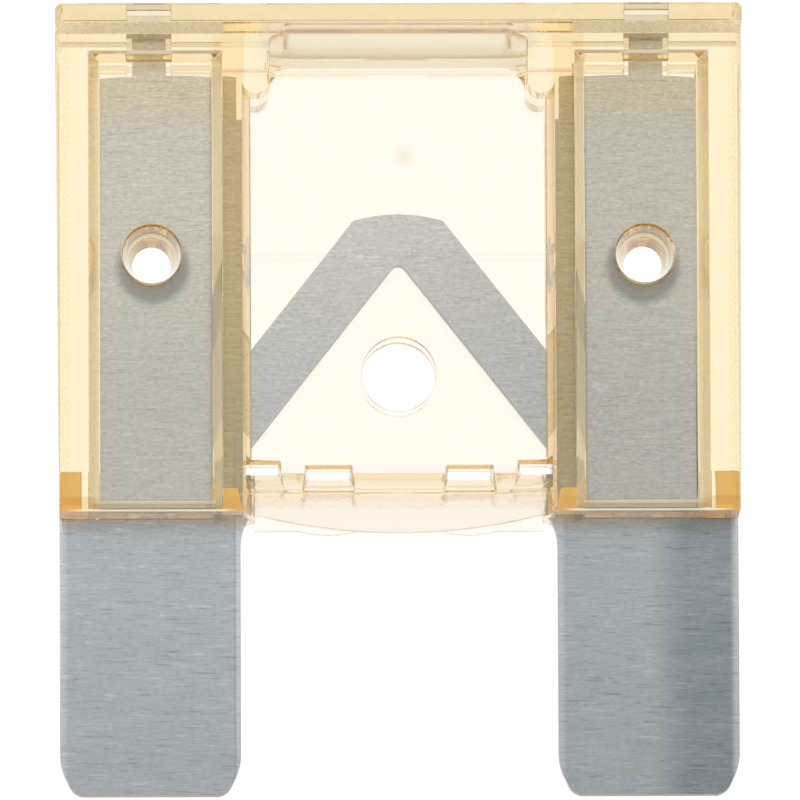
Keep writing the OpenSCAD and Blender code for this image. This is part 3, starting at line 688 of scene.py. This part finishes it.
@dataclass
class DressedNode:
    """One CAD node, copied with its edges softened as moulding or stamping leaves them."""

    node: str
    slot: str
    edge_radius: float
    coined_radius: float = 0.0
    coined_length: float = 9.0 * MM  # only edges that run further than this along the fuse are coined
    tip_radius: float = 0.0
    tip_below: float = -13.0 * MM  # only corners below this are tips
    tip_angle: float = 20.0
    upright: float = 0.9  # share of a tip corner's length that has to run in depth
    sharper_than: float = 25.0
    smooth_under: float = 40.0
    shortest_edge: float = 4.0  # times the radius
    least_room: float = 2.0  # times the radius
    weld: float = 0.001 * MM
    flat_within: float = 0.3

    def room(self, edge: bmesh.types.BMEdge) -> float:
        """Measures how much face an edge has beside it.

        Args:
            edge: The edge.

        Returns:
            The least distance from its middle to another edge of its faces that doesn't touch it.
        """
        middle = (edge.verts[0].co + edge.verts[1].co) / 2
        least = math.inf
        around = (other for face in edge.link_faces for other in face.edges)
        for other in (one for one in around if not set(one.verts) & set(edge.verts)):
            start, end = other.verts[0].co, other.verts[1].co
            share = min(1.0, max(0.0, intersect_point_line(middle, start, end)[1]))
            least = min(least, (middle - start.lerp(end, share)).length)
        return least

    def sharp_edges(self, shell: bmesh.types.BMesh, angle: float) -> list[bmesh.types.BMEdge]:
        """Lists the edges whose two faces meet at more than the angle in degrees."""
        return [e for e in shell.edges if e.is_manifold and e.calc_face_angle(0.0) > math.radians(angle)]

    def soften(self, shell: bmesh.types.BMesh) -> None:
        """Rounds the blades' tip corners, then the coined edges, then every edge that has the room.

        Args:
            shell: The closed copy of the node.
        """
        rounding = {"offset_type": "OFFSET", "affect": "EDGES", "profile": 0.5, "material": -1,
                    "clamp_overlap": False}
        if self.tip_radius:
            corners = [e for e in self.sharp_edges(shell, self.tip_angle)
                       if max(v.co.y for v in e.verts) < self.tip_below
                       and abs(e.verts[0].co.z - e.verts[1].co.z) > self.upright * e.calc_length()]
            bmesh.ops.bevel(shell, geom=corners, offset=self.tip_radius, segments=6, **rounding)
        if self.coined_radius:
            rounded_edges = [e for e in self.sharp_edges(shell, self.sharper_than)
                      if abs(e.verts[0].co.y - e.verts[1].co.y) > self.coined_length]
            bmesh.ops.bevel(shell, geom=rounded_edges, offset=self.coined_radius, segments=4, **rounding)
        edges = [e for e in self.sharp_edges(shell, self.sharper_than)
                 if e.calc_length() > self.shortest_edge * self.edge_radius
                 and self.room(e) > self.least_room * self.edge_radius]
        bmesh.ops.bevel(shell, geom=edges, offset=self.edge_radius, segments=2, **rounding)

    def build(self, material: bpy.types.Material) -> bpy.types.Object:
        """Builds the piece that stands for the node.

        Args:
            material: The finish that it gets.

        Returns:
            The new piece.
        """
        shell = bmesh.new()
        shell.from_mesh(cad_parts[self.node].data)
        bmesh.ops.remove_doubles(shell, verts=shell.verts, dist=self.weld)
        bmesh.ops.dissolve_limit(shell, angle_limit=math.radians(self.flat_within), verts=shell.verts,
                                 edges=shell.edges, use_dissolve_boundaries=False)
        corners = [[pick(v.co[axis] for v in shell.verts) for axis in range(3)] for pick in (min, max)]
        self.soften(shell)
        for vert in shell.verts:
            vert.co = [min(max(c, low), high) for c, low, high in zip(vert.co, *corners)]
        for face in shell.faces:
            face.smooth = True
        for edge in shell.edges:
            edge.smooth = edge.calc_face_angle(0.0) < math.radians(self.smooth_under)
        mesh = bpy.data.meshes.new(self.node + "_dressed")
        shell.to_mesh(mesh)
        shell.free()
        mesh.materials.append(material)
        piece = bpy.data.objects.new(self.node + "_dressed", mesh)
        bpy.context.scene.collection.objects.link(piece)
        even = piece.modifiers.new("even_normals", "WEIGHTED_NORMAL")
        even.keep_sharp = True
        even.weight = 100
        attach(piece, "root")
        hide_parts(self.node)
        LOG.info("%s: %d faces, %s", piece.name, len(mesh.polygons), material.name)
        return piece


@dataclass(frozen=True)
class Studio:
    """A light table under the fuse and a soft white tent over it."""

    white: str = "FFFFFF"
    table_size: float = 3.0
    table_gap: float = 0.02 * MM
    table_light: float = 1.08
    table_dim: float = 1.0
    lit_radius: float = 40 * MM
    dim_radius: float = 130 * MM
    top_light: float = 0.9
    side_light: float = 0.92
    side_under: float = 0.15  # rise of the tent, as a sine, where the light of the sides ends
    top_over: float = 0.9  # rise where the light of the top is full
    bounces: int = 40  # light crosses many faces of the clear moulding

    def build_table(self) -> bpy.types.Object:
        """Builds the light table, brightest under the fuse."""
        grid = bmesh.new()
        bmesh.ops.create_grid(grid, x_segments=1, y_segments=1, size=self.table_size / 2,
                              matrix=Matrix.Translation((0, 0, -self.table_gap)))
        mesh = bpy.data.meshes.new("light_table")
        grid.to_mesh(mesh)
        grid.free()
        table = bpy.data.objects.new("light_table", mesh)
        bpy.context.scene.collection.objects.link(table)
        # Opal acrylic, cast: an even white glow with no hot spots
        material, tree, output = new_material("opal_acrylic_lit_from_below")
        place = add_node(tree, "ShaderNodeTexCoord").outputs["Object"]
        away = add_node(tree, "ShaderNodeVectorMath", {"operation": "LENGTH"}, {0: place})
        level = add_node(tree, RANGE, {
            "interpolation_type": "SMOOTHSTEP", "From Min": self.lit_radius, "From Max": self.dim_radius,
            "To Min": self.table_light, "To Max": self.table_dim}, {"Value": away.outputs["Value"]})
        glow = add_node(tree, "ShaderNodeEmission", {"Color": srgb(self.white)},
                        {"Strength": level.outputs[0]})
        tree.links.new(glow.outputs[0], output.inputs["Surface"])
        material.cycles.emission_sampling = "NONE"
        mesh.materials.append(material)
        return table

    def build_tent(self) -> bpy.types.World:
        """Builds the white tent as the light of the world."""
        world = bpy.data.worlds.new("white_tent")
        world.use_nodes = True
        sky = world.node_tree
        rise = add_node(sky, "ShaderNodeSeparateXYZ", {},
                        {0: add_node(sky, "ShaderNodeTexCoord").outputs["Generated"]}).outputs[2]
        ramp = add_node(sky, RANGE, {
            "interpolation_type": "SMOOTHSTEP", "From Min": self.side_under, "From Max": self.top_over,
            "To Min": self.side_light, "To Max": self.top_light}, {"Value": rise})
        sky.links.new(ramp.outputs[0], sky.nodes["Background"].inputs["Strength"])
        sky.nodes["Background"].inputs["Color"].default_value = srgb(self.white)
        world.cycles.sampling_method = "NONE"
        return world

    def build(self) -> None:
        """Builds the table and the light around it."""
        scene = bpy.context.scene
        scene.view_settings.view_transform = "Standard"
        scene.cycles.max_bounces = self.bounces
        scene.cycles.transmission_bounces = self.bounces
        scene.cycles.glossy_bounces = self.bounces
        table = self.build_table()
        scene.world = self.build_tent()
        LOG.info("studio: %s, %s", table.name, scene.world.name)


@dataclass(frozen=True)
class PhotoView:
    """The camera, far off and a little below the normal of the blades, as the photograph was taken."""

    aim: Place = (0.07 * MM, 0.25 * MM, MIDDLE * MM)
    distance: float = 0.8
    below_normal: float = 7.5
    from_left: float = 1.0
    lean: float = 0.25
    sensor: float = 36.0
    view_width: float = 34.453 * MM
    nearest: float = 0.05
    farthest: float = 10.0

    def build(self) -> None:
        """Builds the camera and makes it the scene's own."""
        fall, side = math.radians(self.below_normal), math.radians(self.from_left)
        back = Vector((-math.sin(side) * math.cos(fall), -math.sin(fall), math.cos(side) * math.cos(fall)))
        up = (Vector((0, 1, 0)) - back * back.y).normalized()
        right = up.cross(back)
        turn = Matrix((right, up, back)).transposed().to_4x4()
        data = bpy.data.cameras.new("photo_view")
        data.sensor_width = self.sensor
        data.lens = self.sensor * self.distance / self.view_width
        data.clip_start, data.clip_end = self.nearest, self.farthest
        camera = bpy.data.objects.new("photo_view", data)
        place = Vector(self.aim) + back * self.distance
        lean = Matrix.Rotation(math.radians(-self.lean), 4, "Z")
        camera.matrix_world = Matrix.Translation(place) @ turn @ lean
        bpy.context.scene.collection.objects.link(camera)
        bpy.context.scene.camera = camera
        LOG.info("camera at %s", tuple(round(v, 4) for v in place))


def main() -> None:
    """Builds the studio and the camera, and dresses the two pieces of the fuse."""
    logging.basicConfig(level=logging.INFO, format="%(name)s: %(message)s")
    Studio().build()
    PhotoView().build()
    housing = DressedNode("housing", "housing_resin", edge_radius=0.04 * MM)
    housing.build(ClearResin().build())
    strip = DressedNode("fuse_strip", "strip_metal", edge_radius=0.04 * MM, coined_radius=0.16 * MM,
                        tip_radius=0.45 * MM)
    strip.build(TinPlate().build())


if __name__ == "__main__":
    main()
